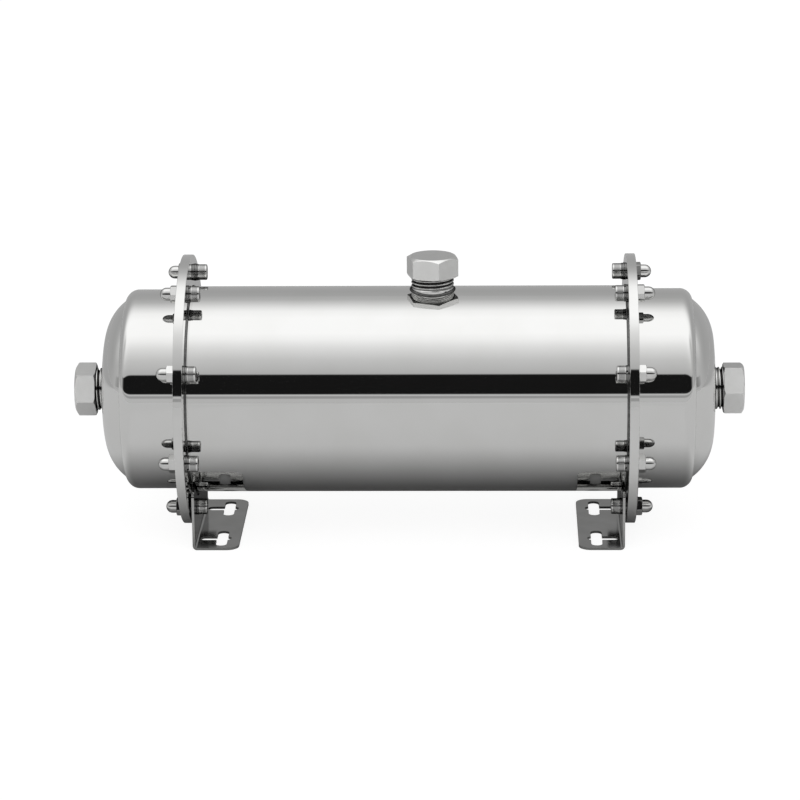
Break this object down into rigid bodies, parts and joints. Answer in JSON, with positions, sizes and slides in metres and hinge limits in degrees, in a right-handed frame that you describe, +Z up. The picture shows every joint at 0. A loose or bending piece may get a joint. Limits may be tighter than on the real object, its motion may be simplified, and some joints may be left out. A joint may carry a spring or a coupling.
{
  "type": "under-sink water filter",
  "caption": "Polished stainless ultrafiltration housing with flanged dished end caps, capped threaded ports and slotted feet.",
  "frame": {"origin": "on the mounting face of the feet, under the middle of the tube", "axes": "+X along the tube from the inlet to the drain, +Z up towards the product port, front towards -Y"},
  "size_m": [0.3314, 0.1336, 0.1394],
  "materials": {
    "mirror_steel": "mirror-polished stainless steel",
    "flange_steel": "finely turned and polished stainless steel",
    "thread_steel": "turned stainless steel pipe thread",
    "cap_steel": "satin stainless steel",
    "screw_steel": "stainless steel with a fine knurl on the heads",
    "washer_steel": "plain stainless steel",
    "nut_steel": "polished stainless steel",
    "foot_steel": "stainless steel sheet with a cold-rolled sheen",
    "white_silicone": "matte white silicone",
    "black_rubber": "matte black rubber",
    "white_plastic": "matte white moulded plastic",
    "resin": "cast resin",
    "white_fibre": "matte white membrane"
  },
  "bodies": {
    "housing": {"housing_tube": "mirror_steel", "inlet_end_cap": "mirror_steel", "drain_end_cap": "mirror_steel", "inlet_tube_flange": "flange_steel", "drain_tube_flange": "flange_steel", "inlet_cap_flange": "flange_steel", "drain_cap_flange": "flange_steel", "inlet_flange_seal": "white_silicone", "drain_flange_seal": "white_silicone", "inlet_port": "thread_steel", "drain_port": "thread_steel", "product_port": "thread_steel", "inlet_flange_screws": "screw_steel", "drain_flange_screws": "screw_steel", "inlet_spring_washers": "washer_steel", "drain_spring_washers": "washer_steel", "inlet_flat_washers": "washer_steel", "drain_flat_washers": "washer_steel", "inlet_acorn_nuts": "nut_steel", "drain_acorn_nuts": "nut_steel", "inlet_foot": "foot_steel", "drain_foot": "foot_steel", "cartridge_sleeve": "white_plastic", "fibre_bundles": "white_fibre", "inlet_potting": "resin", "drain_potting": "resin", "inlet_collar": "white_plastic", "drain_collar": "white_plastic", "inlet_collar_rings": "black_rubber", "drain_collar_rings": "black_rubber"},
    "inlet_gasket": {"inlet_cap_gasket": "black_rubber"},
    "inlet_cap": {"inlet_blanking_cap": "cap_steel"},
    "drain_gasket": {"drain_cap_gasket": "black_rubber"},
    "drain_cap": {"drain_blanking_cap": "cap_steel"},
    "product_gasket": {"product_cap_gasket": "black_rubber"},
    "product_cap": {"product_blanking_cap": "cap_steel"}
  },
  "joints": [
    {"name": "inlet_cap_travel", "type": "slide", "parent": "housing", "child": "inlet_gasket", "axis": [-1, 0, 0], "range_m": [0, 0.0064]},
    {"name": "inlet_cap_turn", "type": "hinge", "parent": "inlet_gasket", "child": "inlet_cap", "pos_m": [-0.1555, 0, 0.0715], "axis": [-1, 0, 0], "range_deg": [0, 1270]},
    {"name": "drain_cap_travel", "type": "slide", "parent": "housing", "child": "drain_gasket", "axis": [1, 0, 0], "range_m": [0, 0.0064]},
    {"name": "drain_cap_turn", "type": "hinge", "parent": "drain_gasket", "child": "drain_cap", "pos_m": [0.1555, 0, 0.0715], "axis": [1, 0, 0], "range_deg": [0, 1270]},
    {"name": "product_cap_travel", "type": "slide", "parent": "housing", "child": "product_gasket", "axis": [0, 0, 1], "range_m": [0, 0.0064]},
    {"name": "product_cap_turn", "type": "hinge", "parent": "product_gasket", "child": "product_cap", "pos_m": [0.012, 0, 0.1292], "axis": [0, 0, 1], "range_deg": [0, 1270]}
  ],
  "couplings": [
    {"joint": "inlet_cap_travel", "follows": "inlet_cap_turn", "m_per_rad": 0.00028871},
    {"joint": "drain_cap_travel", "follows": "drain_cap_turn", "m_per_rad": 0.00028871},
    {"joint": "product_cap_travel", "follows": "product_cap_turn", "m_per_rad": 0.00028871}
  ]
}
